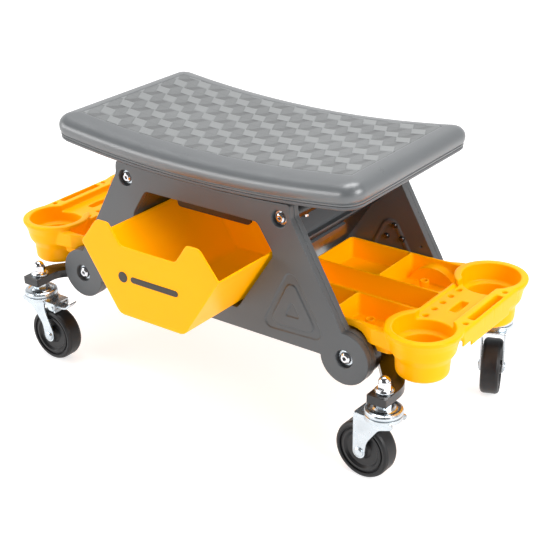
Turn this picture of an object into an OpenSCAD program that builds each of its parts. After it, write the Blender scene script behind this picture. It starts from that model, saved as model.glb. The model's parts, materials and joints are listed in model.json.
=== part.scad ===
// Mechanics creeper: a rolling work seat with a through drawer, two tool trays and four swivel
// casters. X runs from tray to tray, -Y is the drawer side, Z is up. The origin lies on the
// floor, midway between the four caster stems.

/* [Seat] */
// Length of the seat along X
seat_l = 475; // [440:5:500]
// Width of the seat along Y
seat_w = 272; // [262:2:280]
// Height of the seat's top edge at mid length
seat_z = 348.5; // [345:0.5:352]
// Rise of the seat's ends above its middle
seat_rise = 17.5; // [12:0.5:20]
// Height of the upper seat shell's side
seat_side = 29; // [27:1:31]

/* [Side panels] */
// Distance between the outer faces of the two side panels
panel_span = 248.4; // [244:0.2:252]
// Thickness of a side panel, both shells together
panel_t = 18.2; // [16:0.2:20]
// Radius of the round lower lobes
lobe_r = 34.4; // [32:0.2:36]
// Distance along X between the lobe centres
lobe_span = 431.4; // [428:0.2:436]
// Height of the lobe centres
lobe_z = 134.2; // [133:0.2:136]

/* [Drawer] */
// How far the drawer stands open
drawer_out = 100; // [0:5:150]
// Length of the drawer along Y
drawer_l = 239; // [230:1:240]
// Wall thickness of the drawer
drawer_t = 3; // [2.4:0.1:3.4]

/* [Trays] */
// Height of the tray walls
deck_z = 180; // [178:1:184]
// Height of the cup rims
rim_z = 187; // [184:1:190]
// Distance along X between the cup centres of the two trays
cup_span = 602; // [598:2:606]
// Distance along Y between the two cups of a tray
cup_pitch = 169; // [166:1:172]
// Radius of the tool holes in the deck
tool_hole_r = 4; // [3:0.25:4.5]

/* [Casters] */
// Diameter of the wheels
wheel_d = 75; // [72:1:76]
// Width of the wheels
wheel_w = 25; // [23:1:26]
// Distance from the swivel axis to the wheel axis
trail = 24; // [22:0.5:26]
// Distance along X between the caster stems
stem_span_x = 568; // [564:1:572]
// Distance along Y between the caster stems
stem_span_y = 284; // [280:1:286]

/* [Hidden] */
$fn = 48;
front_y = -panel_span / 2;
inner_y = panel_span / 2 - panel_t;
shell_t = 2.8;
shell_gap = 0.4;
outer_shell_d = 8.6;
inner_shell_d = panel_t - outer_shell_d - shell_gap;
lobe_x = lobe_span / 2;
panel_top_z = 310.6;
panel_top_rise = 5;
panel_half_top = 138;
panel_shoulder_z = 298;
panel_low_z = 131;
panel_side_slope = 0.5636;
panel_shoulder_x = 139.3;
recess_d = 7;
top_recess_r = 11;
lobe_recess_r = 12;
washer_t = 1.6;
screw_places = [[145, 211], [133, 193], [157, 194]];
panel_screw_r = 1.8;
screw_head_r = 4.2;
seat_boss_y = 70;
seat_screw_r = 2.5;
bolt_reach = 20;
spacer_d = 15.2;
spacer_r = 32;
tray_boss_y = 66;
tray_screw_r = 2.5;
rail_place = 0.72;
stop_y = -93;
stop_t = 4;
stop_half_w = 59;
stop_low_z = 261;
drawer_low_z = 161;
drawer_rim_z = 246.7;
drawer_top_z = 282;
drawer_half_low = 52;
drawer_half_rim = 109;
notch_z = 255;
bend_r = 34;
apron_low_z = 159;
apron_half_w = 49;
band_low_z = 166;
band_reach = 70;
groove_places = [-20, 3.5, 27];
groove_d = 0.9;
flare_low_z = 159;
bulge_r = 36;
cup_rim_r = 47;
cup_lip = 4.5;
rim_gap = 26.5;
ledge_z = 163;
ledge_r = 30.4;
band_in = 323;
band_t = 3;
rib_y = 40;
rib_low_z = 160;
tray_boss_z = 165;
tray_head_z = 156;
tool_x = 278.7;
tool_pitch = 21;
tube_l = 15;
end_hole_x = 337;
end_hole_y = 50.5;
end_hole_r = 3.5;
window_x = 295.7;
window_y = -15;
window_w = 11;
window_l = 32;
window_d = 9;
slot_x = 332;
slot_y = -37;
slot_w = 9.5;
slot_l = 76;
slot_d = 14;
turn_fl = 0;
turn_fr = 178;
turn_bl = 20;
turn_br = -68;
ball_r = 2.4;
ball_z = 95.6;
ball_ring_r = 15;
race_top_z = 103.5;
race_low_z = 94;
crown_z = 88;
leg_y = 14;
leg_t = 2.2;
hub_r = 27;
brake_u = 9;
ear_u = 38;
brake_z = 83;
brake_pin_r = 3;
brake_travel = 20;
opening_top = [89.3, 283];
opening_mid = [114, 245.6];
opening_low = [55.8, 158.4];
top_bolt = [122.4, 294.6];
tube_bore_r = 8.6;
tie_r = 11;
cross_r = 12.2;
bolt_r = 4;
bore_r = 4;
tunnel_t = 2.5;
bar_w = 26;
bar_top = lobe_z - cross_r;
bar_h = 11;
bar_end_y = 160;
bar_wall = 2;
stem_r = 5;
stem_x = stem_span_x / 2;
stem_y = stem_span_y / 2;
cup_x = cup_span / 2;
cup_y = cup_pitch / 2;
cup_r = 37.5;
cup_floor_r = 29.6;
cup_floor_z = 128.5;
cup_t = 2.6;
tray_in = 78;
tray_half_w = 104;
tray_floor = 147;
tray_t = 2.5;
deck_in = 267;
deck_out = 346;
deck_low = 177.5;
axle_z = wheel_d / 2;
axle_r = 4;
running = 0.05;
ring_side = 14;
ring_corner = 10;
ring_count = 2 * (ring_side + 1) + 4 * ring_corner;
ring_turn = 2 * (ring_side + ring_corner) + 1;

// ---- outline helpers ----

function unit(v) = v / norm(v);

// Rounded corner at b between a and c: points along an arc of radius r, tangent to both edges
function corner(a, b, c, r, steps) =
    let (u = unit(a - b), v = unit(c - b),
         half = acos(u * v) / 2,
         centre = b + unit(u + v) * r / sin(half),
         p = b + u * r / tan(half),
         q = b + v * r / tan(half),
         from = p - centre,
         to = q - centre,
         a0 = atan2(from[1], from[0]),
         turn = atan2(from[0] * to[1] - from[1] * to[0], from * to))
    [for (i = [0:steps]) centre + r * [cos(a0 + turn * i / steps), sin(a0 + turn * i / steps)]];

// Closed outline of [x, y, r] corners, each rounded with its own radius
function rounded(pts, steps = 5) =
    let (n = len(pts), flat = [for (p = pts) [p[0], p[1]]])
    [for (i = [0:n - 1])
        each (pts[i][2] <= 0 ? [flat[i]]
            : corner(flat[(i + n - 1) % n], flat[i], flat[(i + 1) % n], pts[i][2], steps))];

// Outline moved inwards by d along its edges' normals; the outline runs anticlockwise
function inset(pts, d) =
    let (n = len(pts))
    [for (i = [0:n - 1])
        let (u = unit(pts[i] - pts[(i + n - 1) % n]), v = unit(pts[(i + 1) % n] - pts[i]),
             nu = [-u[1], u[0]], nv = [-v[1], v[0]], mid = unit(nu + nv))
        pts[i] + mid * d / (mid * nv)];

// Mirrors a half outline given from bottom centre to top centre, so it closes anticlockwise
function mirrored(half) =
    concat(half, [for (i = [len(half) - 1:-1:0]) [-half[i][0], half[i][1], half[i][2]]]);

// Raises an XZ outline into a plate that runs from y0 to y1
module along_y(y0, y1) {
    translate([0, y1, 0]) rotate([90, 0, 0]) linear_extrude(y1 - y0) children();
}

module rod_y(x, z, y0, y1, r) {
    translate([x, y1, z]) rotate([90, 0, 0]) cylinder(h = y1 - y0, r = r);
}

// Puts a part on the left and the right
module both_sides() {
    children();
    mirror([1, 0, 0]) children();
}

// Puts a part at the front and the back
module both_ends() {
    children();
    mirror([0, 1, 0]) children();
}

module four_corners() {
    both_sides() both_ends() children();
}

// Flat block with round upright corners
module round_block(size, r) {
    linear_extrude(size[2])
        polygon(rounded([[0, 0, r], [size[0], 0, r], [size[0], size[1], r], [0, size[1], r]]));
}

// ---- seat ----

// Height of the seat's saddle curve above its middle at a distance x from it
function saddle(x) = seat_rise * pow(2 * x / seat_l, 2);

// Ring of points around the seat, moved inwards by d, at a height z above the saddle curve.
// Point i on the front half faces point ring_turn - i on the back half.
function seat_ring(d, z) =
    let (a = seat_l / 2 - d, b = seat_w / 2 - d, r = max(24 - d, 6), n = ring_corner)
    [for (p = concat(
        [for (i = [0:ring_side]) [-(a - r) + 2 * (a - r) * i / ring_side, -b]],
        [for (i = [1:n]) [a - r + r * sin(90 * i / n), -b + r - r * cos(90 * i / n)]],
        [for (i = [0:n - 1]) [a - r + r * cos(90 * i / n), b - r + r * sin(90 * i / n)]],
        [for (i = [0:ring_side]) [a - r - 2 * (a - r) * i / ring_side, b]],
        [for (i = [1:n]) [-(a - r) - r * sin(90 * i / n), b - r + r * cos(90 * i / n)]],
        [for (i = [0:n - 1]) [-(a - r) - r * cos(90 * i / n), -b + r - r * sin(90 * i / n)]]))
        [p[0], p[1], z + saddle(p[0])]];

// Closed solid through a stack of [inset, height] seat rings. Strips along Y close both ends.
module seat_solid(levels) {
    m = len(levels);
    n = ring_count;
    points = [for (v = levels) each seat_ring(v[0], v[1])];
    sides = [for (k = [0:m - 2]) for (i = [0:n - 1])
        let (a = k * n + i, b = k * n + (i + 1) % n)
        each [[a, b, a + n], [b, b + n, a + n]]];
    front = [for (i = [-ring_corner:ring_side + ring_corner]) (i + n) % n];
    caps = [for (k = [0, m - 1]) for (s = [0:len(front) - 2])
        let (a = k * n + front[s], b = k * n + front[s + 1],
             c = k * n + (ring_turn + n - front[s + 1]) % n,
             d = k * n + (ring_turn + n - front[s]) % n)
        each k == 0 ? [[a, c, b], [a, d, c]] : [[a, b, c], [a, c, d]]];
    tris = [for (f = concat(sides, caps))
        if (f[0] != f[1] && f[1] != f[2] && f[2] != f[0]) [f[2], f[1], f[0]]];
    polyhedron(points = points, faces = tris, convexity = 6);
}

// Upper shell: rolled edge outside, hollow below
module seat_top() {
    z0 = seat_z - seat_side;
    color("slategray") seat_solid([[16, z0 + 12], [5, z0 + 10], [5, z0], [0.6, z0], [0, z0 + 5],
        [0.6, z0 + 12.5], [3, z0 + 18], [6.4, z0 + 21.7], [11, z0 + 24.5], [18, z0 + 27.2],
        [28, z0 + seat_side]]);
}
// Lower rim and pan, with four bosses that sit on the tie tubes
module seat_base() {
    z0 = seat_z - seat_side;
    color("dimgray") difference() {
        union() {
            seat_solid([[14, z0 - 1.5], [10, z0 - 1.5], [8.5, z0 - 5], [4, z0 - 5], [2.2, z0 - 3.2],
                [2.2, z0 - 0.4], [7, z0 - 0.4], [7, z0 + 2.6], [20, z0 + 2.6]]);
            four_corners() translate([top_bolt[0], seat_boss_y, top_bolt[1] + 4])
                cylinder(h = z0 + saddle(top_bolt[0]) - top_bolt[1] - 4, r = 9);
        }
        both_sides() rod_y(top_bolt[0], top_bolt[1], -inner_y, inner_y, tie_r + running);
        four_corners() translate([top_bolt[0], seat_boss_y, top_bolt[1]])
            cylinder(h = 24, r = seat_screw_r + running);
    }
}

module seat_screws() {
    color("silver") four_corners() translate([top_bolt[0], seat_boss_y, top_bolt[1] - tie_r - 3]) {
        cylinder(h = 3, r = 5);
        cylinder(h = 34, r = seat_screw_r);
    }
}

// ---- side panels ----

function panel_side_x(z) = panel_shoulder_x + panel_side_slope * (panel_shoulder_z - z);
function panel_top(x) = panel_top_z + panel_top_rise * pow(x / panel_half_top, 2);

panel_outline = rounded(mirrored(concat(
    [[panel_side_x(panel_low_z), panel_low_z, 0], [panel_shoulder_x, panel_shoulder_z, 8],
     [panel_half_top, panel_top(panel_half_top), 4]],
    [for (x = [115:-23:23]) [x, panel_top(x), 0]])));
opening_outline = rounded(mirrored([[opening_low[0], opening_low[1], 9],
    [opening_mid[0], opening_mid[1], 10], [opening_top[0], opening_top[1], 8]]));
triangle_corners = [[92, 144.5], [190, 148.5], [138, 238]];

// The triangle near a lower corner of a side panel, moved inwards by d
function triangle(d, r) = rounded([for (p = inset(triangle_corners, d)) [p[0], p[1], r]]);

module panel_shape(d = 0) {
    polygon(inset(panel_outline, d));
    both_sides() translate([lobe_x, lobe_z]) circle(lobe_r - d);
}

// The six-sided opening, widened by d
module opening_shape(d = 0) {
    polygon(inset(opening_outline, -d));
}

// A face plate from y0 to y1 with a rim round its edge and its opening from y2 to y3
module shell(y0, y1, y2, y3) {
    along_y(y0, y1) difference() {
        panel_shape();
        opening_shape();
    }
    along_y(y2, y3) difference() {
        panel_shape();
        panel_shape(shell_t);
    }
    along_y(y2, y3) difference() {
        opening_shape(shell_t);
        opening_shape();
    }
}

// Outer front shell: deep bolt recesses and a stepped triangle near each lower corner
module outer_shell() {
    y0 = front_y;
    y1 = front_y + outer_shell_d;
    floor_y = front_y + recess_d;
    difference() {
        union() {
            shell(y0, y0 + shell_t, y0, y1);
            both_sides() {
                rod_y(top_bolt[0], top_bolt[1], y0, y1, top_recess_r + 2.5);
                rod_y(lobe_x, lobe_z, y0, y1, lobe_recess_r + 2.5);
            }
        }
        both_sides() {
            rod_y(top_bolt[0], top_bolt[1], y0 - 1, floor_y, top_recess_r);
            rod_y(top_bolt[0], top_bolt[1], y0, y1 + 1, bolt_r + 0.3);
            rod_y(lobe_x, lobe_z, y0 - 1, floor_y, lobe_recess_r);
            rod_y(lobe_x, lobe_z, y0, y1 + 1, bolt_r + 0.3);
            along_y(y0 - 1, y0 + 1.4) difference() {
                polygon(triangle(0, 10));
                polygon(triangle(8, 8));
            }
            along_y(y0 - 1, y0 + 1.4) polygon(triangle(22, 3));
        }
    }
}

// Inner front shell: a ridge round each triangle pocket, screw bosses and a ledge for the tray
module inner_shell() {
    y0 = -inner_y - inner_shell_d;
    y1 = -inner_y;
    difference() {
        union() {
            shell(y1 - shell_t, y1, y0, y1);
            both_sides() {
                rod_y(top_bolt[0], top_bolt[1], y0, y1, top_recess_r + 2.5);
                rod_y(lobe_x, lobe_z, y0, y1, lobe_recess_r + 2.5);
                along_y(y1, y1 + 1.6) difference() {
                    polygon(triangle(2, 14));
                    polygon(triangle(7, 10));
                }
                for (p = screw_places)
                    rod_y(p[0], p[1], y0, y1, 4.5);
                translate([88, y1 - 0.5, tray_floor - 5]) cube([56, 9.5, 5]);
            }
        }
        both_sides() {
            rod_y(top_bolt[0], top_bolt[1], y0 - 1, y1 + 1, bolt_r + 0.3);
            rod_y(lobe_x, lobe_z, y0 - 1, y1 + 1, bolt_r + 0.3);
            for (p = screw_places) {
                rod_y(p[0], p[1], y0 - 1, y1 + 1, panel_screw_r + running);
                rod_y(p[0], p[1], y1, y1 + 5, screw_head_r + 0.1);
            }
            rod_y(186.5, 190, y1 - shell_t - 1, y1 + 1, 1.8);
        }
    }
}

module front_panel_outer() {
    color("dimgray") outer_shell();
}

module front_panel_inner() {
    color("dimgray") inner_shell();
}

module back_panel_outer() {
    color("dimgray") mirror([0, 1, 0]) outer_shell();
}

module back_panel_inner() {
    color("dimgray") mirror([0, 1, 0]) inner_shell();
}

// Three domed screws in each triangle pocket
module panel_screw_set() {
    both_sides() for (p = screw_places) {
        rod_y(p[0], p[1], -inner_y - inner_shell_d, -inner_y, panel_screw_r);
        translate([p[0], -inner_y, p[1]]) intersection() {
            sphere(r = screw_head_r);
            translate([-5, 0, -5]) cube([10, 3.2, 10]);
        }
    }
}

module front_panel_screws() {
    color("gray") panel_screw_set();
}

module back_panel_screws() {
    color("gray") mirror([0, 1, 0]) panel_screw_set();
}

// Button head bolt at a recess, with a hexagon socket
module button_bolt(x, z, head_r) {
    y0 = front_y + recess_d - washer_t;
    head_h = head_r * 0.6;
    difference() {
        union() {
            rod_y(x, z, y0 - 1, -inner_y + bolt_reach, bolt_r);
            translate([x, y0, z]) rotate([90, 0, 0])
                rotate_extrude() polygon([[0, 0], [head_r, 0], [head_r, head_h * 0.3],
                    [head_r * 0.86, head_h * 0.7], [head_r * 0.6, head_h], [0, head_h]]);
        }
        translate([x, y0 - 1.5, z]) rotate([90, 0, 0]) cylinder(h = head_h, r = head_r * 0.38, $fn = 6);
    }
}

module washer(x, z, r) {
    y1 = front_y + recess_d;
    difference() {
        rod_y(x, z, y1 - washer_t, y1, r);
        rod_y(x, z, y1 - washer_t - 1, y1 + 1, bolt_r + 0.2);
    }
}

module top_bolts() {
    color("silver") four_corners() button_bolt(top_bolt[0], top_bolt[1], 7);
}

module top_washers() {
    color("lightgray") four_corners() washer(top_bolt[0], top_bolt[1], 9);
}

module lobe_bolts() {
    color("silver") four_corners() button_bolt(lobe_x, lobe_z, 7.8);
}

module lobe_washers() {
    color("lightgray") four_corners() washer(lobe_x, lobe_z, 10);
}

// ---- tubes between the panels ----

module tie_tube() {
    difference() {
        rod_y(top_bolt[0], top_bolt[1], -inner_y, inner_y, tie_r);
        rod_y(top_bolt[0], top_bolt[1], -inner_y - 1, inner_y + 1, tube_bore_r);
        both_ends() translate([top_bolt[0], seat_boss_y, top_bolt[1] - 2 * tie_r])
            cylinder(h = 4 * tie_r, r = seat_screw_r + running);
    }
}

module tie_tube_right() {
    color("black") tie_tube();
}

module tie_tube_left() {
    color("black") mirror([1, 0, 0]) tie_tube();
}

module cross_tube() {
    difference() {
        rod_y(lobe_x, lobe_z, -inner_y, inner_y, cross_r);
        rod_y(lobe_x, lobe_z, -inner_y - 1, inner_y + 1, tube_bore_r);
        both_ends() translate([lobe_x, tray_boss_y, lobe_z])
            cylinder(h = 2 * cross_r, r = tray_screw_r + running);
    }
}

module cross_tube_right() {
    color("black") cross_tube();
}

module cross_tube_left() {
    color("black") mirror([1, 0, 0]) cross_tube();
}

// Inserts that take the bolts in the ends of the tie tubes and cross tubes
module threaded_plugs() {
    color("gray") four_corners() for (p = [top_bolt, [lobe_x, lobe_z]]) difference() {
        rod_y(p[0], p[1], -inner_y, -inner_y + 24, tube_bore_r);
        rod_y(p[0], p[1], -inner_y - 1, -inner_y + 25, bolt_r + running);
    }
}

// Discs round the cross tubes, against the inside of the lobes
module lobe_spacers() {
    color("black") four_corners() difference() {
        rod_y(lobe_x, lobe_z, -inner_y, -inner_y + spacer_d, spacer_r);
        rod_y(lobe_x, lobe_z, -inner_y - 1, -inner_y + spacer_d + 1, cross_r + running);
    }
}

// ---- drawer tunnel ----

module tunnel() {
    along_y(-inner_y, inner_y) difference() {
        opening_shape(tunnel_t);
        opening_shape();
    }
}

// Flange along the tunnel's widest line, between two heights
module tunnel_flange(z0, z1) {
    both_sides() translate([opening_mid[0] - 0.5, -inner_y, z0])
        cube([8, 2 * inner_y, z1 - z0]);
}

module housing_upper() {
    color("dimgray") {
        intersection() {
            tunnel();
            translate([-150, -inner_y, opening_mid[1]]) cube([300, 2 * inner_y, 60]);
        }
        tunnel_flange(opening_mid[1], opening_mid[1] + 2.4);
    }
}

module housing_lower() {
    color("black") {
        intersection() {
            tunnel();
            translate([-150, -inner_y, opening_mid[1] - 110]) cube([300, 2 * inner_y, 110]);
        }
        tunnel_flange(opening_mid[1] - 2.4, opening_mid[1]);
    }
}

// Stiffening rails on the slanted outer sides of the tunnel, with one rounded end each
module housing_rails() {
    run = opening_mid - opening_low;
    lean = atan2(run[1], run[0]);
    foot = opening_low + run * rail_place;
    color("gray") both_sides() translate([foot[0], 0, foot[1]]) rotate([0, -lean, 0])
        translate([0, 0, -tunnel_t - 4]) linear_extrude(4)
            polygon(rounded([[0, -62, 0], [13, -62, 0], [13, 44, 6], [0, 44, 6]]));
}

// Strip under the tunnel roof that the drawer's back wall meets when the drawer is fully out
module drawer_stop() {
    color("black") {
        along_y(stop_y - stop_t, stop_y) polygon(rounded([[-stop_half_w, stop_low_z, 6],
            [stop_half_w, stop_low_z, 6], [stop_half_w, opening_top[1], 0],
            [-stop_half_w, opening_top[1], 0]]));
        translate([-stop_half_w, stop_y - 0.5, opening_top[1] - 2.4])
            cube([2 * stop_half_w, 12, 2.4]);
    }
}

// Two slippery strips on the tunnel floor
module drawer_glides() {
    color("white") both_sides() translate([22, -inner_y, opening_low[1]])
        cube([16, 2 * inner_y, drawer_low_z - opening_low[1] - 0.3]);
}

// ---- drawer ----

drawer_half = [[drawer_half_low, drawer_low_z, 12], [drawer_half_rim, drawer_rim_z, 0]];

// Drawer: slanted sides, a floor, a tall front wall with a finger notch, and a back wall
module drawer() {
    y0 = front_y - drawer_out;
    y1 = y0 + drawer_l;
    outer = rounded(mirrored(drawer_half));
    color("gold") {
        difference() {
            along_y(y0, y1) polygon(outer);
            along_y(y0 + drawer_t, y1 - drawer_t) polygon(inset(outer, drawer_t));
            translate([-drawer_half_rim + 3.6, y0 + drawer_t, drawer_rim_z - drawer_t - 0.01])
                cube([2 * drawer_half_rim - 7.2, drawer_l - 2 * drawer_t, drawer_t + 1]);
        }
        along_y(y0, y0 + drawer_t) polygon(rounded(mirrored([
            [drawer_half_rim - 6, drawer_rim_z - 9, 0], [drawer_half_rim, drawer_rim_z, 7],
            [81, drawer_top_z, 12], [62, drawer_top_z, 7], [43, notch_z, 9]])));
        along_y(y1 - drawer_t, y1) polygon(rounded(mirrored([
            [drawer_half_rim - 6, drawer_rim_z - 9, 0], [drawer_half_rim, drawer_rim_z, 0],
            [92, stop_low_z - 3, 4], [42, stop_low_z - 3, 0], [38, stop_low_z + 7, 3]])));
    }
}

// Plain raised disc and bar on the drawer front
module drawer_badge() {
    y1 = front_y - drawer_out;
    color("saddlebrown") {
        rod_y(-42, 214, y1 - 0.6, y1, 7);
        along_y(y1 - 0.6, y1) polygon(rounded([[-29, 210, 4], [46, 210, 4], [46, 218, 4],
            [-29, 218, 4]]));
    }
}

// ---- steel bars under the trays ----

bow_path = [[stem_x, -bar_end_y], [stem_x, -118], [lobe_x, -33], [lobe_x, 33], [stem_x, 118],
    [stem_x, bar_end_y]];

// Points of a path moved sideways by d
function beside(path, d) =
    [for (i = [0:len(path) - 1])
        let (u = unit(path[i] - path[max(i - 1, 0)] + (i == 0 ? path[1] - path[0] : [0, 0])),
             v = i == len(path) - 1 ? u : unit(path[i + 1] - path[i]),
             nu = [-u[1], u[0]], nv = [-v[1], v[0]], mid = unit(nu + nv))
        path[i] + mid * d / (mid * nv)];

// Outline of a bent bar of half width w, its bends rounded round the centre line's radius
function ribbon(w) =
    let (a = beside(bow_path, -w), b = beside(bow_path, w), r = bend_r, n = len(bow_path))
    rounded(concat(
        [for (i = [0:n - 1]) [a[i][0], a[i][1], bend_radius(i, n, r, w)]],
        [for (i = [n - 1:-1:0]) [b[i][0], b[i][1], bend_radius(i, n, r, -w)]]), 8);

// Bends next to the casters turn towards the middle, the two inner bends turn back
function bend_radius(i, n, r, w) =
    i == 0 || i == n - 1 ? 0 : (i == 1 || i == n - 2) ? r + w : r - w;

// Bent rectangular tube with stem holes and a saddle that holds the cross tube
module bow_bar() {
    difference() {
        union() {
            translate([0, 0, bar_top - bar_h]) linear_extrude(bar_h) polygon(ribbon(bar_w / 2));
            translate([lobe_x - 11, -28, bar_top - 0.5]) cube([22, 56, 8]);
        }
        translate([0, 0, bar_top - bar_h + bar_wall]) linear_extrude(bar_h - 2 * bar_wall)
            polygon(ribbon(bar_w / 2 - bar_wall));
        both_ends() translate([stem_x - bar_w, -bar_end_y - 1, bar_top - bar_h - 1])
            cube([2 * bar_w, 4, bar_h + 2]);
        both_ends() translate([stem_x, stem_y, bar_top - bar_h - 1])
            cylinder(h = bar_h + 2, r = stem_r + 0.2);
        rod_y(lobe_x, lobe_z, -40, 40, cross_r);
    }
}

module bow_bar_right() {
    color("black") bow_bar();
}

module bow_bar_left() {
    color("black") mirror([1, 0, 0]) bow_bar();
}

// Plastic caps in the bar ends
module bar_end_caps() {
    inner_w = bar_w - 2 * bar_wall;
    inner_h = bar_h - 2 * bar_wall;
    color("dimgray") four_corners() {
        translate([stem_x - bar_w / 2, -bar_end_y, bar_top - bar_h]) cube([bar_w, 3, bar_h]);
        translate([stem_x - inner_w / 2, -bar_end_y + 2.9, bar_top - bar_h + bar_wall])
            cube([inner_w, 7, inner_h]);
    }
}

// ---- trays ----

tray_cells = [
    [tray_in + tray_t, 172.7, 19.2, tray_half_w - tray_t],
    [175.2, deck_in - tray_t, 19.2, tray_half_w - tray_t],
    [tray_in + tray_t, deck_in - tray_t, -35.8, 16.7],
    [181.2, deck_in - tray_t, -tray_half_w + tray_t, -38.3],
    [tray_in + tray_t, 178.7, -tray_half_w + tray_t, -38.3]];

// Walls and floor of the five compartments, the deck and its outer apron
module tray_box() {
    difference() {
        union() {
            translate([tray_in, -tray_half_w, tray_floor])
                round_block([deck_in - tray_in + 2, 2 * tray_half_w, deck_z - tray_floor], 6);
            translate([deck_in - 2, -cup_y, deck_low - band_t])
                cube([band_in - deck_in + 4, cup_pitch, band_t]);
            raised_band();
            deck_pockets(2);
            both_ends() linear_extrude_from(flare_low_z, deck_z) polygon(flare);
        }
        for (c = tray_cells)
            translate([c[0], c[2], tray_floor + tray_t])
                round_block([c[1] - c[0], c[3] - c[2], deck_z], 4);
    }
}

// Wall that widens from the tray's side to the cup
flare = [[212, 100], [deck_in - 2, 100], [cup_x - 20, cup_y + 30], [cup_x - 30, cup_y + 30],
    [246, 113], [230, tray_half_w + 2], [212, tray_half_w]];

module linear_extrude_from(z0, z1) {
    translate([0, 0, z0]) linear_extrude(z1 - z0) children();
}

// Half sections of a cup, from the axis outward
cup_bore = rounded([[0, cup_floor_z, 0], [cup_floor_r, cup_floor_z, 3],
    [ledge_r, ledge_z - 2, 1], [cup_r - 1, ledge_z, 1], [cup_r, rim_z + 0.1, 0],
    [0, rim_z + 0.1, 0]]);
cup_body = rounded([[0, cup_floor_z - cup_t, 0], [cup_floor_r + cup_t, cup_floor_z - cup_t, 7],
    [ledge_r + 3, ledge_z - 14, 8], [cup_r + 2.1, ledge_z - 4, 8], [cup_r + 4.5, ledge_z + 9, 10],
    [cup_rim_r - 1.5, rim_z - cup_lip - 2, 3], [cup_rim_r, rim_z - cup_lip, 0.6],
    [cup_rim_r, rim_z, 1.2], [0, rim_z, 0]]);

module cup_outside() {
    translate([cup_x, cup_y, 0]) difference() {
        rotate_extrude() polygon(cup_body);
        translate([-rim_gap, -cup_rim_r - 1, deck_low])
            cube([band_in - cup_x + rim_gap, cup_rim_r + 1, 20]);
    }
}

module cup_inside() {
    translate([cup_x, cup_y, 0]) rotate_extrude() polygon(cup_bore);
}

// Raised band along the outer edge, with an apron below it and two ribs
module raised_band() {
    under = rim_z - band_t;
    wall_x = deck_out - tray_t;
    difference() {
        union() {
            along_y(-band_reach, band_reach) polygon(rounded([
                [band_in, deck_low - band_t, 0], [band_in, rim_z, 0.6], [deck_out, rim_z, 4],
                [deck_out, band_low_z, 0], [wall_x, band_low_z, 0], [wall_x, under, 1.5],
                [band_in + tray_t, under, 0], [band_in + tray_t, deck_low - band_t, 0]]));
            translate([wall_x, -apron_half_w, apron_low_z])
                cube([tray_t, 2 * apron_half_w, under - apron_low_z]);
        }
        for (y = groove_places)
            along_y(y, y + 1.8) difference() {
                translate([slot_x + slot_w, under - 11]) square([20, 20]);
                polygon(rounded([[band_in, apron_low_z, 0], [band_in, rim_z - groove_d, 0],
                    [deck_out - groove_d, rim_z - groove_d, 3.2],
                    [deck_out - groove_d, apron_low_z, 0]]));
            }
    }
    both_ends() translate([cup_x, -rib_y - 1, rib_low_z])
        cube([deck_out - cup_x - 1, 2, deck_low - rib_low_z - 1]);
}

// Pockets and tool tubes of the deck, grown by t on their closed sides
module deck_pockets(t) {
    low = deck_low - window_d;
    translate([window_x - t, window_y - t, low - t])
        cube([window_w + 2 * t, window_l + 2 * t, t > 0 ? deck_low - low + t : 20]);
    translate([slot_x - t, slot_y - t, rim_z - slot_d - t])
        cube([slot_w + 2 * t, slot_l + 2 * t, t > 0 ? slot_d + t - 1 : 20]);
}

module tool_tubes(t) {
    reach = t > 0 ? 0 : 1;
    for (i = [-2:2]) translate([tool_x, tool_pitch * i, deck_low - tube_l - reach])
        cylinder(h = tube_l + 2 * reach, r = tool_hole_r + t);
    both_ends() translate([end_hole_x, end_hole_y, rim_z - tube_l - reach])
        cylinder(h = tube_l + 2 * reach, r = end_hole_r + t);
}

// Bulge that clears a lobe spacer, and its hollow below
module spacer_bulge(r, reach) {
    rod_y(lobe_x, lobe_z, -tray_half_w, -inner_y + reach, r);
}

module tray() {
    difference() {
        union() {
            tray_box();
            both_ends() {
                intersection() {
                    spacer_bulge(bulge_r + tray_t, spacer_d + 1 + tray_t);
                    translate([0, -200, tray_floor]) cube([400, 200, deck_z - tray_floor]);
                }
                cup_outside();
                translate([lobe_x, -tray_boss_y, tray_floor])
                    cylinder(h = tray_boss_z - tray_floor, r = 6.4);
            }
            tool_tubes(2);
        }
        both_ends() {
            spacer_bulge(bulge_r, spacer_d + 1);
            rod_y(lobe_x, lobe_z, -tray_half_w - 20, -tray_half_w + 0.1, lobe_r + 1);
            cup_inside();
            translate([lobe_x, -tray_boss_y, tray_floor - 1])
                cylinder(h = 40, r = tray_screw_r + 0.2);
            translate([lobe_x, -tray_boss_y, tray_head_z]) cylinder(h = 20, r = 4.4);
        }
        deck_pockets(0);
        tool_tubes(0);
    }
}

module tray_right() {
    color("gold") tray();
}

module tray_left() {
    color("gold") mirror([1, 0, 0]) tray();
}

module tray_screws() {
    color("silver") four_corners() translate([lobe_x, -tray_boss_y, 0]) {
        translate([0, 0, lobe_z + cross_r - 4])
            cylinder(h = tray_head_z - lobe_z - cross_r + 4, r = tray_screw_r);
        translate([0, 0, tray_head_z]) cylinder(h = 2.2, r1 = 4.2, r2 = 3.2);
    }
}

// ---- casters ----

// Places a part at a caster, turned so that +X points from the swivel axis to the wheel
module at_caster(side, end, turn) {
    translate([side * stem_x, end * stem_y, 0]) rotate([0, 0, turn]) children();
}

module ball_track() {
    translate([0, 0, ball_z]) rotate_extrude() translate([ball_ring_r, 0]) circle(ball_r + running);
}

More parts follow.
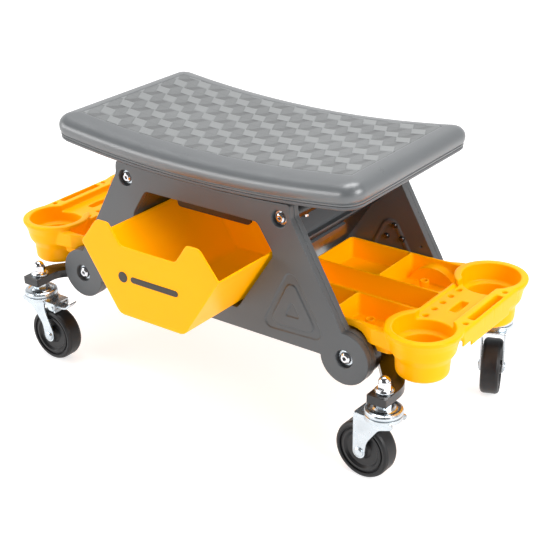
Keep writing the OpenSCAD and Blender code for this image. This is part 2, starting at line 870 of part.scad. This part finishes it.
// Stem, hexagon collar, upper race and king pin in one piece
module stem() {
    color("silver") difference() {
        union() {
            translate([0, 0, race_top_z]) cylinder(h = bar_top + 14 - race_top_z, r = stem_r);
            translate([0, 0, race_top_z]) cylinder(h = bar_top - bar_h - race_top_z, r = 10, $fn = 6);
            rotate_extrude() polygon([[0, ball_z + 1.7], [20, ball_z + 1.7], [20.6, race_low_z + 0.8],
                [23.4, race_low_z + 0.8], [23.4, 97.6], [22.6, 99.6], [20.4, 100.8], [18, 100.9],
                [16.5, 100.2], [14.5, 101.2], [12.5, race_top_z], [0, race_top_z]]);
            translate([0, 0, crown_z - 3]) cylinder(h = 14, r = stem_r);
            translate([0, 0, crown_z - 3.2]) cylinder(h = 3, r1 = 6, r2 = 8);
        }
        ball_track();
    }
}

// Side plate of a fork, seen along the wheel axis
function leg_outline(brake) = rounded(concat(
    [[-22, 84, 3], [-3, 77, 14], [trail - 10.5, 54, 24], [trail - 8.5, 40, 8],
     [trail - 8.5, axle_z - 8.5, 8.4], [trail + 8.5, axle_z - 8.5, 8.4]],
    brake ? [[trail + 8.5, 45, 6], [trail - 4, 76, 5], [trail - 4, crown_z + 2.2, 2]]
        : [[trail + 8.5, crown_z + 2.2, 2]],
    [[-22, crown_z + 2.2, 3]]));

module fork(brake) {
    color("lightsteelblue") difference() {
        union() {
            both_ends() along_y(-leg_y - leg_t, -leg_y) polygon(leg_outline(brake));
            translate([-20, -leg_y - 0.5, crown_z])
                cube([20 + (brake ? ear_u : trail + 8.5), 2 * leg_y + 1, leg_t]);
            translate([0, 0, crown_z]) cylinder(h = race_low_z - crown_z - 1.2, r = 23.5);
            translate([0, 0, race_low_z - 1.2]) cylinder(h = 1.2, r1 = 23.5, r2 = 22);
            if (brake) {
                both_ends() along_y(-leg_y - 0.5, -leg_y + 1.9) polygon(rounded([
                    [trail - 6, crown_z + 1, 0], [ear_u - 10, brake_z - 4.5, 4],
                    [ear_u, brake_z - 4.5, 4], [ear_u, crown_z + 1, 0]]));
                rod_y(trail + brake_u, brake_z, -leg_y - 1.6, leg_y + 1.6, brake_pin_r);
            }
        }
        translate([0, 0, crown_z - 1]) cylinder(h = 12, r = stem_r + running);
        ball_track();
        rod_y(trail, axle_z, -leg_y - leg_t - 1, leg_y + leg_t + 1, axle_r + running);
    }
}

// Axle through both side plates, with a domed head at each end
module axle() {
    head_y = leg_y + leg_t;
    color("silver") {
        rod_y(trail, axle_z, -head_y, head_y, axle_r);
        both_ends() translate([trail, -head_y, axle_z]) rotate([90, 0, 0])
            rotate_extrude() polygon([[0, 0], [6.5, 0], [6.2, 1.2], [4.5, 2.3], [0, 2.7]]);
    }
}

// Turns a half section, given as radius and height, into a ring round the wheel axis
module wheel_ring(section) {
    translate([trail, 0, axle_z]) rotate([90, 0, 0]) rotate_extrude($fn = 72) polygon(section);
}

module tyre() {
    w = wheel_w / 2;
    r = wheel_d / 2;
    half = [[hub_r, -w + 1.2], [28.4, -w + 1.2], [28.8, -w + 3.2], [30.4, -w + 3.2], [31, -w + 0.4],
        [r - 4, -w], [r - 1.2, -w + 1.6], [r, -w + 4.5]];
    color("black") wheel_ring(concat(half, [for (i = [7:-1:0]) [half[i][0], -half[i][1]]]));
}

module hub() {
    w = wheel_w / 2;
    color("dimgray") wheel_ring([[axle_r + running, -w - 1], [9, -w - 1], [10, -w + 1.5],
        [13, -w + 4.5], [22, -w + 4], [25, -w + 0.8], [hub_r, -w + 1.2], [hub_r, w - 1.2],
        [25, w - 0.8], [22, w - 4], [13, w - 4.5], [10, w - 1.5], [9, w + 1],
        [axle_r + running, w + 1]]);
}

// Foot lever with a round pad that comes down to the tyre
module brake() {
    reach = norm([brake_u, brake_z - axle_z]);
    pad_r = reach - axle_z - 0.2;
    w = leg_y - 3;
    pad_turn = atan2(axle_z - brake_z, -brake_u) + brake_travel;
    color("lightsteelblue") difference() {
        translate([trail + brake_u, 0, brake_z]) {
            along_y(-w, w) circle(4.5);
            along_y(-w, w) polygon([[0, 0], for (i = [-2:2])
                pad_r * [cos(pad_turn + 5 * i), sin(pad_turn + 5 * i)]]);
            along_y(-6.5, 6.5) polygon(rounded([[0, 2, 0], [13, 1, 8], [20, 3, 8], [28, 11, 0.8],
                [29.6, 9.6, 0.8], [21.5, 0.9, 8], [13.5, -1.4, 8], [0, -1.6, 0]]));
        }
        rod_y(trail + brake_u, brake_z, -w - 1, w + 1, brake_pin_r + running);
    }
}

module swivel_balls() {
    color("silver") four_corners() translate([stem_x, stem_y, ball_z])
        for (i = [0:11])
            rotate([0, 0, 30 * i]) translate([ball_ring_r, 0, 0]) sphere(r = ball_r, $fn = 24);
}

// Domed nut with a flange
module caster_nuts() {
    color("gainsboro") four_corners() translate([stem_x, stem_y, bar_top + 2]) difference() {
        union() {
            cylinder(h = 2.6, r1 = 11, r2 = 9.6);
            cylinder(h = 10.5, r = 8.6, $fn = 6);
            translate([0, 0, 10.5]) intersection() {
                sphere(r = 7.6);
                translate([-8, -8, -4]) cube([16, 16, 12]);
            }
        }
        translate([0, 0, -1]) cylinder(h = 14, r = stem_r + 0.1);
    }
}

module caster_washers() {
    color("silver") four_corners() translate([stem_x, stem_y, bar_top]) difference() {
        cylinder(h = 2, r = 12);
        translate([0, 0, -1]) cylinder(h = 4, r = stem_r + 0.2);
    }
}

module stem_fl() {
    at_caster(-1, -1, turn_fl) stem();
}

module fork_fl() {
    at_caster(-1, -1, turn_fl) fork(true);
}

module axle_fl() {
    at_caster(-1, -1, turn_fl) axle();
}

module tyre_fl() {
    at_caster(-1, -1, turn_fl) tyre();
}

module hub_fl() {
    at_caster(-1, -1, turn_fl) hub();
}

module brake_fl() {
    at_caster(-1, -1, turn_fl) brake();
}

module stem_fr() {
    at_caster(1, -1, turn_fr) stem();
}

module fork_fr() {
    at_caster(1, -1, turn_fr) fork(false);
}

module axle_fr() {
    at_caster(1, -1, turn_fr) axle();
}

module tyre_fr() {
    at_caster(1, -1, turn_fr) tyre();
}

module hub_fr() {
    at_caster(1, -1, turn_fr) hub();
}

module stem_bl() {
    at_caster(-1, 1, turn_bl) stem();
}

module fork_bl() {
    at_caster(-1, 1, turn_bl) fork(true);
}

module axle_bl() {
    at_caster(-1, 1, turn_bl) axle();
}

module tyre_bl() {
    at_caster(-1, 1, turn_bl) tyre();
}

module hub_bl() {
    at_caster(-1, 1, turn_bl) hub();
}

module brake_bl() {
    at_caster(-1, 1, turn_bl) brake();
}

module stem_br() {
    at_caster(1, 1, turn_br) stem();
}

module fork_br() {
    at_caster(1, 1, turn_br) fork(false);
}

module axle_br() {
    at_caster(1, 1, turn_br) axle();
}

module tyre_br() {
    at_caster(1, 1, turn_br) tyre();
}

module hub_br() {
    at_caster(1, 1, turn_br) hub();
}

seat_top();
seat_base();
seat_screws();
front_panel_outer();
front_panel_inner();
back_panel_outer();
back_panel_inner();
front_panel_screws();
back_panel_screws();
top_bolts();
top_washers();
lobe_bolts();
lobe_washers();
tie_tube_left();
tie_tube_right();
threaded_plugs();
housing_upper();
housing_lower();
housing_rails();
drawer_stop();
drawer_glides();
drawer();
drawer_badge();
cross_tube_left();
cross_tube_right();
lobe_spacers();
bow_bar_left();
bow_bar_right();
bar_end_caps();
tray_left();
tray_right();
tray_screws();
caster_nuts();
caster_washers();
swivel_balls();
stem_fl();
fork_fl();
axle_fl();
tyre_fl();
hub_fl();
brake_fl();
stem_fr();
fork_fr();
axle_fr();
tyre_fr();
hub_fr();
stem_bl();
fork_bl();
axle_bl();
tyre_bl();
hub_bl();
brake_bl();
stem_br();
fork_br();
axle_br();
tyre_br();
hub_br();
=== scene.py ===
import json
import math

import bpy
import numpy as np
from mathutils import Matrix, Vector


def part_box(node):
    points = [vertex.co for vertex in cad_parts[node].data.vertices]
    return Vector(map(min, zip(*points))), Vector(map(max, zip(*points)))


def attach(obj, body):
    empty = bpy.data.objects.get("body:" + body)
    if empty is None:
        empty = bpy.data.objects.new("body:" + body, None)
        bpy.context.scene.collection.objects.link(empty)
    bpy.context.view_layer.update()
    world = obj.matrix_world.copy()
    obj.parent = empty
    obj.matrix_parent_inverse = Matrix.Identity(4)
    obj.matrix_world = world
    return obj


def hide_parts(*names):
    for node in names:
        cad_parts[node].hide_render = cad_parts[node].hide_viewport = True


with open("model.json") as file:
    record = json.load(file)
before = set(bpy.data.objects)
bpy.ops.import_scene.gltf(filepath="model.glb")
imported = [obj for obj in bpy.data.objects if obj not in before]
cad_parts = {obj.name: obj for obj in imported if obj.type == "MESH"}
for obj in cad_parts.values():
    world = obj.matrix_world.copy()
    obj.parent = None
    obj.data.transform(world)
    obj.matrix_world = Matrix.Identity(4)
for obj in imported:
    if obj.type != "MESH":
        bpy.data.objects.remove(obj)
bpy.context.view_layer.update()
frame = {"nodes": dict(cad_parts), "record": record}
nodes = frame["nodes"]
MM = 0.001

# ---------------------------------------------------------------- materials

# Noise scales are in cells per metre. Depths and radii of a material are in millimetres.
NOISE_SPAN = (0.3, 0.7)  # nearly all values of a noise texture
NOISE_CORE = (0.35, 0.65)  # the middle of them, for more contrast
BEVEL_SAMPLES = 4
RANGE_SOCKETS = ("From Min", "From Max", "To Min", "To Max")
MIX_COLOURS, MIX_RESULT = (6, 7), 2  # a Mix node's colour sockets


def set_range(map_range, span, to):
    """Makes a Map Range node stretch the values in span to the ones in to."""
    for socket, number in zip(RANGE_SOCKETS, (*span, *to), strict=True):
        map_range.inputs[socket].default_value = number


def scaled(colour, k):
    return tuple(min(1.0, c * k) for c in colour)


class Shader:
    """A Principled material with small helpers for procedural detail."""

    def __init__(self, name, colour, rough, metallic=0.0):
        self.name = name
        self.material = bpy.data.materials.new(name)
        self.material.use_nodes = True
        self.tree = self.material.node_tree
        self.principled = self.tree.nodes["Principled BSDF"]
        self.set("Base Color", (*colour, 1))
        self.set("Roughness", rough)
        self.set("Metallic", metallic)
        self.place = self.node("ShaderNodeTexCoord").outputs["Object"]
        self.normal = None

    def node(self, kind, **props):
        made = self.tree.nodes.new(kind)
        for key, value in props.items():
            setattr(made, key, value)
        return made

    def link(self, a, b):
        self.tree.links.new(a, b)

    def set(self, socket, value):
        self.principled.inputs[socket].default_value = value

    def noise(self, scale, detail, distortion=0.0):
        """Noise from 0 to 1."""
        noise = self.node("ShaderNodeTexNoise")
        noise.inputs["Scale"].default_value = scale
        noise.inputs["Detail"].default_value = detail
        noise.inputs["Distortion"].default_value = distortion
        self.link(self.place, noise.inputs["Vector"])
        return noise.outputs["Fac"]

    def remap(self, value, span, to):
        """value stretched from span to the range given by to, and kept inside it."""
        made = self.node("ShaderNodeMapRange")
        set_range(made, span, to)
        self.link(value, made.inputs["Value"])
        return made.outputs["Result"]

    def math(self, operation, a, b):
        """A sum or product of a socket and a socket or number."""
        made = self.node("ShaderNodeMath", operation=operation)
        for socket, value in zip(made.inputs, (a, b)):
            if isinstance(value, (int, float)):
                socket.default_value = value
            else:
                self.link(value, socket)
        return made.outputs[0]

    def blend(self, a, b, share=0.5):
        """A weighted mean: this share of a, and the rest of b."""
        return self.math("ADD", self.math("MULTIPLY", a, share), self.math("MULTIPLY", b, 1 - share))

    def colour_from(self, value, span, low, high):
        """Base colour from low to high where value runs over span."""
        made = self.node("ShaderNodeMix", data_type="RGBA")
        self.link(self.remap(value, span, (0, 1)), made.inputs["Factor"])
        for socket, colour in zip(MIX_COLOURS, (low, high), strict=True):
            made.inputs[socket].default_value = (*colour, 1)
        self.link(made.outputs[MIX_RESULT], self.principled.inputs["Base Color"])

    def rough_from(self, value, low, high):
        """Roughness from low to high where value runs over the values of a noise."""
        self.link(self.remap(value, NOISE_SPAN, (low, high)), self.principled.inputs["Roughness"])

    def bump(self, height, depth):
        """Relief of this depth, over the rounded edges if there are any."""
        made = self.node("ShaderNodeBump")
        made.inputs["Distance"].default_value = depth * MM
        self.link(height, made.inputs["Height"])
        if self.normal is not None:
            self.link(self.normal, made.inputs["Normal"])
        self.link(made.outputs["Normal"], self.principled.inputs["Normal"])

    def round_edges(self, radius):
        """Small rounding of sharp metal and moulded edges, for the light only."""
        made = self.node("ShaderNodeBevel", samples=BEVEL_SAMPLES)
        made.inputs["Radius"].default_value = radius * MM
        self.normal = made.outputs["Normal"]


def moulded(name, colour, rough, grain, depth, mottle, edges=None, specular=0.5):
    """Injection moulded plastic: faint flow mottling, fine grain and uneven gloss."""
    s = Shader(name, colour, rough)
    s.set("Specular IOR Level", specular)
    if edges:
        s.round_edges(edges)
    flow = s.noise(scale=7, detail=3, distortion=0.6)
    cloud = s.noise(scale=38, detail=4)
    fine = s.noise(grain, detail=2)
    tone = s.blend(flow, cloud, share=0.65)
    s.colour_from(tone, NOISE_CORE, scaled(colour, 1 - mottle), scaled(colour, 1 + mottle))
    s.rough_from(s.blend(cloud, fine), rough - 0.05, rough + 0.07)
    s.bump(fine, depth)
    return s


def plated(name, colour, rough, spread):
    """Plated metal: spotted gloss over a faint fine relief."""
    s = Shader(name, colour, rough, metallic=1.0)
    s.round_edges(0.5)
    fine = s.noise(scale=260, detail=4)
    cloud = s.noise(scale=45, detail=3)
    s.colour_from(cloud, NOISE_SPAN, scaled(colour, 0.86), scaled(colour, 1.05))
    s.rough_from(s.blend(fine, cloud), rough - spread / 2, rough + spread)
    s.bump(fine, depth=0.02)
    return s


def coated(name, colour, rough):
    """Powder coated steel: an orange-peel skin of uneven tone."""
    s = Shader(name, colour, rough)
    s.set("Specular IOR Level", 0.6)
    s.round_edges(0.6)
    peel = s.noise(scale=420, detail=2)
    cloud = s.noise(scale=30, detail=3)
    s.colour_from(cloud, NOISE_CORE, scaled(colour, 0.8), scaled(colour, 1.25))
    s.rough_from(cloud, rough - 0.06, rough + 0.06)
    s.bump(peel, depth=0.05)
    return s


def tread(name, colour, rough):
    """Hard black rubber with dust in patches and fine pores."""
    s = Shader(name, colour, rough)
    s.set("Specular IOR Level", 0.3)
    s.round_edges(0.8)
    dust = s.noise(scale=55, detail=5)
    pores = s.noise(scale=900, detail=3)
    dusty = (0.45, 0.75)  # the noise from clean to dusty rubber
    s.colour_from(dust, dusty, colour, scaled(colour, 1.9))
    s.rough_from(dust, rough - 0.05, rough + 0.1)
    s.bump(pores, depth=0.04)
    return s


PANEL_GREY = (0.080, 0.085, 0.090)
SEAT_GREY = (0.100, 0.107, 0.112)
SEAT_BASE_GREY = (0.09, 0.094, 0.1)
# The woven field's greys: pads are painted lighter than the strands, a painted highlight on their flat tops;
# dips are painted darker, painted shade where they dive under the next strand.
PAD_HIGHLIGHT_GREY = (0.190, 0.198, 0.200)
STRAND_GREY = (0.140, 0.146, 0.148)
DIP_SHADE_GREY = (0.098, 0.102, 0.104)
PLASTIC_BLACK = (0.012, 0.012, 0.013)
HUB_BLACK = (0.014, 0.014, 0.015)
TYRE_BLACK = (0.011, 0.011, 0.012)
COATING_BLACK = (0.010, 0.010, 0.011)
PRINT_BLACK = (0.028, 0.02, 0.012)
NYLON = (0.70, 0.69, 0.65)
CHROME = (0.70, 0.70, 0.72)
ZINC = (0.56, 0.61, 0.65)
YELLOW = (1.0, 0.38, 0.0)
YELLOW_PAINTED_GLOW = (1.0, 0.5, 0.0, 1)  # painted glow that lifts the yellow's shaded hollows, standing in for light that comes through the thin translucent walls
PAINTED_GLOW_STRENGTH = 0.17

looks = {look.name: look for look in (
    moulded("seat_plastic", SEAT_GREY, rough=0.32, grain=1500, depth=0.015, mottle=0.03, specular=0.9),
    # the woven field: smooth pads with a painted highlight, and dips that are a copy of the strands' look
    # darkened as painted shade
    moulded("seat_smooth_painted_highlight", PAD_HIGHLIGHT_GREY, rough=0.36, grain=1500, depth=0.02, mottle=0.05),
    moulded("seat_grained", STRAND_GREY, rough=0.46, grain=650, depth=0.14, mottle=0.12),
    moulded("seat_dip_painted_shade", DIP_SHADE_GREY, rough=0.46, grain=650, depth=0.14, mottle=0.12),
    moulded("seat_base_plastic", SEAT_BASE_GREY, rough=0.42, grain=1300, depth=0.03, mottle=0.06, edges=0.7),
    moulded("panel_plastic", PANEL_GREY, rough=0.40, grain=1500, depth=0.04, mottle=0.05),
    moulded("black_plastic", PLASTIC_BLACK, rough=0.3, grain=1100, depth=0.03, mottle=0.2, edges=0.6),
    moulded("yellow_plastic", YELLOW, rough=0.32, grain=1200, depth=0.02, mottle=0.03, specular=0.13),
    moulded("badge", PRINT_BLACK, rough=0.5, grain=1600, depth=0.02, mottle=0.2),
    moulded("nylon", NYLON, rough=0.4, grain=900, depth=0.03, mottle=0.05, edges=0.3),
    moulded("hub_plastic", HUB_BLACK, rough=0.32, grain=1000, depth=0.03, mottle=0.25, edges=0.6,
            specular=0.35),
    coated("black_steel", COATING_BLACK, rough=0.2),
    plated("bright_steel", CHROME, rough=0.09, spread=0.08),
    plated("zinc_steel", ZINC, rough=0.22, spread=0.12),
    tread("tyre", TYRE_BLACK, rough=0.42),
)}
# the yellow plastic glows as painted light, which brightens its shaded hollows
looks["yellow_plastic"].set("Emission Color", YELLOW_PAINTED_GLOW)
looks["yellow_plastic"].set("Emission Strength", PAINTED_GLOW_STRENGTH)

slots = {row["node"]: row["material_slot"] for row in frame["record"]["subparts"]}
for name, obj in nodes.items():
    obj.data.materials.clear()
    obj.data.materials.append(looks[slots[name]].material)


# ---------------------------------------------------------------- moulded parts

# Size of a voxel, number of smoothing passes and share of the faces that is kept
SOFTENED = {
    ("tray_left", "tray_right"): (1.15 * MM, 4, 0.22),
    ("drawer",): (1.3 * MM, 4, 0.25),
    ("front_panel_outer", "back_panel_outer"): (0.8 * MM, 2, 0.12),
    ("front_panel_inner", "back_panel_inner"): (1.0 * MM, 2, 0.18),
}


def soften(name, voxel, passes, keep):
    """Rounds every edge of a moulded CAD part, as the tool that made it would."""
    obj = nodes[name]
    remesh = obj.modifiers.new("moulded", "REMESH")
    remesh.mode = "VOXEL"
    remesh.voxel_size = voxel
    remesh.use_smooth_shade = True
    smooth = obj.modifiers.new("rounded", "SMOOTH")
    smooth.factor = 0.5
    smooth.iterations = passes
    thin = obj.modifiers.new("light", "DECIMATE")
    thin.ratio = keep
    even = obj.modifiers.new("even", "WEIGHTED_NORMAL")
    even.mode = "FACE_AREA"
    even.weight = 100


for names, settings in SOFTENED.items():
    for name in names:
        soften(name, *settings)


# ---------------------------------------------------------------- seat

seat_low, seat_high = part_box("seat_top")
HALF_L = seat_high.x
HALF_W = seat_high.y
SEAT_BOTTOM = seat_low.z
CORNER_R = 24 * MM
RISE = 17.5 * MM  # of the saddle's ends over its middle
SEAT_CREASE = 40  # degrees; sharper edges stay sharp

# The woven field. Its rows run along X, and each row has pads, dips and strands by turns.
FIELD_INSET = (26.5 * MM, 32.0 * MM)  # from the seat's box to the field along X and Y
FIELD_STEP = 1.15 * MM
FIELD_FADE = 1.0 * MM  # the pattern fades out over this width at the field's border
PITCH = 55.2 * MM  # one repeat of the pattern along X
ROW = 18.7 * MM  # width of a row
ROW_START = 7.3 * MM
ROW_SHIFT = 27.75 * MM  # how far the pattern moves along X from row to row
PAD, PAD_LEAN = (25.2 * MM, 45.0 * MM), (-0.55, -0.5)  # a pad's two edges, and their lean along Y
DIP, DIP_LEAN = (43.0 * MM, 58.5 * MM), (0.65, 0.35)
PAD_KIND, DIP_KIND, STRAND_KIND = 0, 1, 2
# pads carry a painted highlight and dips painted shade
KIND_LOOKS = ("seat_smooth_painted_highlight", "seat_dip_painted_shade", "seat_grained")
DIP_RAMP = (0.1, 0.65)  # heights at the two ends, as a share of a pad's height
STRAND_RAMP = (0.65, 0.45)
STRAND_END_RAMP = (0.45, 0.15)  # the piece of strand between a pad and the next dip

# The seat's section in millimetres: inset from its outline, and height over its lower edge.
# First the rolled edge up to the field, then the inside of the hollow shell.
EDGE_PROFILE = [
    (3.6, 0.0), (2.6, 0.0), (1.9, 0.7), (1.8, 2.3), (2.7, 3.0), (2.8, 3.5), (1.6, 4.4), (0.8, 6.3),
    (0.25, 8.6), (0.0, 11.0), (0.2, 13.4), (0.9, 16.0), (2.2, 18.7), (4.3, 21.3), (7.3, 23.7),
    (11.2, 25.6), (16.2, 27.1), (22.0, 28.2), (27.2, 28.9), (29.8, 29.1), (30.6, 28.9)]
UNDER_PROFILE = [(5.0, 0.0), (5.4, 8.0), (9.0, 11.0), (16.0, 12.0)]
FIELD_TOP = 28.6
TILE_DEPTH = 1.0  # height of a pad over the field
EDGE_END = EDGE_PROFILE[-1][0] * MM
EDGE_GAP = 0.5 * MM  # between the end of the rolled edge and the field
FIT_START = 0.15  # share of the edge's width where its outline starts to fit the field's shape
LEAST_CORNER_R = 1e-5


def saddle(x):
    return RISE * (x / HALF_L) ** 2


def outline(inset, shares):
    """Points of the seat's rounded outline, moved inwards, at shares 0 to 4 of its quarters.

    A quarter runs from the middle of one side, round its corner, to the middle of the next side."""
    fit = min(1.0, max(0.0, inset / EDGE_END - FIT_START) / (1 - FIT_START))
    half_x = HALF_L - inset - fit * (FIELD_INSET[0] - EDGE_END - EDGE_GAP)
    half_y = HALF_W - inset - fit * (FIELD_INSET[1] - EDGE_END - EDGE_GAP)
    r = max(CORNER_R - inset, LEAST_CORNER_R)
    arc = math.pi * r / 2
    points = []
    for share in shares:
        quarter = int(share) % 4
        t = share - int(share)
        first, last = (half_y - r, half_x - r) if quarter % 2 == 0 else (half_x - r, half_y - r)
        to_corner, from_corner = first + arc / 2, last + arc / 2
        way = 2 * t * to_corner if t < 0.5 else to_corner + (2 * t - 1) * from_corner
        turn = min(max(0.0, way - first) / r, math.pi / 2)
        past = max(0.0, way - first - arc)
        u = last + r * math.cos(turn) - past
        v = min(way, first) + r * math.sin(turn)
        points.append([(u, v), (-v, u), (-u, -v), (v, -u)][quarter])
    return points


def ramp(ends, t):
    return ends[0] + (ends[1] - ends[0]) * t


def tile_height(x, y):
    """Height of each point of the woven pattern, as a share of a pad's, and its kind.

    The pads and strands of a row lean one way and the dips between them lean the other way."""
    row = np.floor((y - ROW_START) / ROW)
    up = y - ROW_START - row * ROW
    pad_left, pad_right = (edge + lean * up for edge, lean in zip(PAD, PAD_LEAN))
    dip_left, dip_right = (edge + lean * up for edge, lean in zip(DIP, DIP_LEAN))
    dip_left = np.maximum(dip_left, pad_right)
    along = pad_left + (x + (row + 1) * ROW_SHIFT - pad_left) % PITCH
    end = ramp(STRAND_END_RAMP, (along - pad_right) / np.maximum(dip_left - pad_right, MM))
    dip = ramp(DIP_RAMP, (along - dip_left) / (dip_right - dip_left))
    strand = ramp(STRAND_RAMP, (along - dip_right) / (pad_left + PITCH - dip_right))
    on_pad, on_dip = along < pad_right, (along >= dip_left) & (along < dip_right)
    low = np.where(along < dip_left, end, strand)
    height = np.where(on_pad, 1.0, np.where(on_dip, dip, low))
    return height, np.where(on_pad, PAD_KIND, np.where(on_dip, DIP_KIND, STRAND_KIND))


def grid_rim(nx, ny):
    """Column and row of the points on the grid's border, anticlockwise from the middle of the +X side."""
    middle = ny // 2
    return ([(nx, j) for j in range(middle, ny)] + [(i, ny) for i in range(nx, 0, -1)]
            + [(0, j) for j in range(ny, 0, -1)] + [(i, 0) for i in range(nx)]
            + [(nx, j) for j in range(middle)])


def rim_share(i, j, xs, ys):
    """How far round the rim a point is, from 0 to 4, with the sides' middles at whole numbers."""
    along_x, along_y = 0.5 * xs[i] / xs[-1], 0.5 * ys[j] / ys[-1]
    if i == len(xs) - 1:
        return along_y % 4
    if j == len(ys) - 1:
        return 1 - along_x
    if i == 0:
        return 2 - along_y
    return 3 + along_x


def build_seat():
    half_x, half_y = HALF_L - FIELD_INSET[0], HALF_W - FIELD_INSET[1]
    nx, ny = 2 * round(half_x / FIELD_STEP), 2 * round(half_y / FIELD_STEP)
    xs = np.linspace(-half_x, half_x, nx + 1)
    ys = np.linspace(-half_y, half_y, ny + 1)
    grid_x, grid_y = np.meshgrid(xs, ys)
    border = np.minimum(half_x - abs(grid_x), half_y - abs(grid_y))
    tiles = tile_height(grid_x, grid_y)[0] * np.clip(border / FIELD_FADE, 0, 1)
    grid_z = SEAT_BOTTOM + (FIELD_TOP + TILE_DEPTH * tiles) * MM + saddle(grid_x)
    vertices = np.stack([grid_x, grid_y, grid_z], -1).reshape(-1, 3).tolist()
    columns = nx + 1
    cells = [j * columns + i for j in range(ny) for i in range(nx)]
    faces = [(k, k + 1, k + columns + 1, k + columns) for k in cells]

    rim = grid_rim(nx, ny)
    shares = [rim_share(i, j, xs, ys) for i, j in rim]
    ring = [j * columns + i for i, j in rim]
    count = len(ring)
    for inset, height in EDGE_PROFILE[::-1] + UNDER_PROFILE:
        start = len(vertices)
        vertices += [(x, y, SEAT_BOTTOM + height * MM + saddle(x)) for x, y in outline(inset * MM, shares)]
        outer, ring = ring, list(range(start, start + count))
        faces += [(outer[k - 1], ring[k - 1], ring[k], outer[k]) for k in range(count)]

    # the hollow's roof, as strips across Y from one long side to the other
    side = [k for k, share in enumerate(shares) if 0.5 <= share <= 1.5]
    faces += [(ring[k], ring[k2], ring[-k2], ring[-k]) for k, k2 in zip(side, side[1:])]

    mesh = bpy.data.meshes.new("seat_shell")
    mesh.from_pydata(vertices, [], faces)
    mesh.update()
    for look in ("seat_plastic", *KIND_LOOKS):
        mesh.materials.append(looks[look].material)
    # each field cell takes its kind's look, so pads carry a painted highlight and dips painted shade
    kinds = tile_height(grid_x[:-1, :-1] + FIELD_STEP / 2, grid_y[:-1, :-1] + FIELD_STEP / 2)[1]
    face_looks = np.zeros(len(faces), dtype=np.int32)
    face_looks[:len(cells)] = kinds.reshape(-1) + 1
    mesh.polygons.foreach_set("material_index", face_looks)
    mesh.shade_smooth()
    mesh.set_sharp_from_angle(angle=math.radians(SEAT_CREASE))
    obj = bpy.data.objects.new("seat_shell", mesh)
    bpy.context.scene.collection.objects.link(obj)
    return obj


seat = build_seat()
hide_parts("seat_top")
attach(seat, "frame")

# ---------------------------------------------------------------- stage

FLOOR_SIZE = 80  # metres, so that its edge is out of sight from low cameras too
FLOOR_TONES = ((0.54, 0.54, 0.54), (0.57, 0.57, 0.57))
FLOOR_GLOW = 0.70  # lifts the floor to white around the soft shadows
WHITE = (1, 1, 1, 1)

# The studio's walls: brightest where this axis points and darkest the other way
WALL_AXIS = (-0.5, 0.7, -0.4)
WALL_SPAN = (-0.45, 0.55)
WALL_LIGHT = (0.12, 1.05)

# Place and size in metres, and watts
SOFTBOXES = {
    "key": ((2.0, -0.3, 1.15), (1.2, 1.2), 38),
    "top": ((-0.1, 0.2, 2.3), (1.8, 1.2), 50),
    "front": ((-1.7, -1.8, 0.8), (2.4, 0.9), 38),
}
MIDDLE = Vector((0, 0, 0.18))  # what the softboxes face

floor_look = Shader("floor", FLOOR_TONES[0], rough=0.6)
floor_look.colour_from(floor_look.noise(scale=3, detail=2), NOISE_SPAN, *FLOOR_TONES)
floor_look.set("Emission Color", WHITE)
floor_look.set("Emission Strength", FLOOR_GLOW)
bpy.ops.mesh.primitive_plane_add(size=FLOOR_SIZE, location=(0, 0, 0))
floor = bpy.context.object
floor.name = "floor"
floor.data.materials.append(floor_look.material)

world = bpy.data.worlds.new("studio")
bpy.context.scene.world = world
world.use_nodes = True
tree = world.node_tree
direction = tree.nodes.new("ShaderNodeTexCoord").outputs["Generated"]
facing = tree.nodes.new("ShaderNodeVectorMath")
facing.operation = "DOT_PRODUCT"
facing.inputs[1].default_value = WALL_AXIS
tree.links.new(direction, facing.inputs[0])
walls = tree.nodes.new("ShaderNodeMapRange")
set_range(walls, WALL_SPAN, WALL_LIGHT)
tree.links.new(facing.outputs["Value"], walls.inputs["Value"])
tree.links.new(walls.outputs["Result"], tree.nodes["Background"].inputs["Strength"])
tree.nodes["Background"].inputs["Color"].default_value = WHITE

for name, (place, size, watts) in SOFTBOXES.items():
    light = bpy.data.lights.new(name, "AREA")
    light.shape = "RECTANGLE"
    light.size, light.size_y = size
    light.energy = watts
    softbox = bpy.data.objects.new(name, light)
    softbox.location = place
    softbox.rotation_euler = (MIDDLE - Vector(place)).to_track_quat("-Z", "Y").to_euler()
    bpy.context.scene.collection.objects.link(softbox)

# ---------------------------------------------------------------- camera

CAMERA_PLACE = Vector((0.9293, -1.2186, 0.8637))
CAMERA_YAW, CAMERA_PITCH, CAMERA_ROLL = 0.6394, 0.4413, -0.0181  # radians
FOCAL_SHARE = 2.26291  # focal length over the sensor's width
SENSOR_WIDTH = 36  # millimetres
VIEW_END = 100

camera_data = bpy.data.cameras.new("camera")
camera_data.sensor_width = SENSOR_WIDTH
camera_data.lens = SENSOR_WIDTH * FOCAL_SHARE
camera_data.clip_end = VIEW_END
camera = bpy.data.objects.new("camera", camera_data)
bpy.context.scene.collection.objects.link(camera)
level = Vector((math.cos(CAMERA_YAW), math.sin(CAMERA_YAW), 0))
ahead = Vector((-math.sin(CAMERA_YAW), math.cos(CAMERA_YAW), 0))
forward = ahead * math.cos(CAMERA_PITCH) - Vector((0, 0, math.sin(CAMERA_PITCH)))
upward = level.cross(forward)
right = level * math.cos(CAMERA_ROLL) + upward * math.sin(CAMERA_ROLL)
up = upward * math.cos(CAMERA_ROLL) - level * math.sin(CAMERA_ROLL)
turn = Matrix((right, up, -forward)).transposed().to_4x4()
camera.matrix_world = Matrix.Translation(CAMERA_PLACE) @ turn
bpy.context.scene.camera = camera

bpy.context.scene.view_settings.view_transform = "Standard"
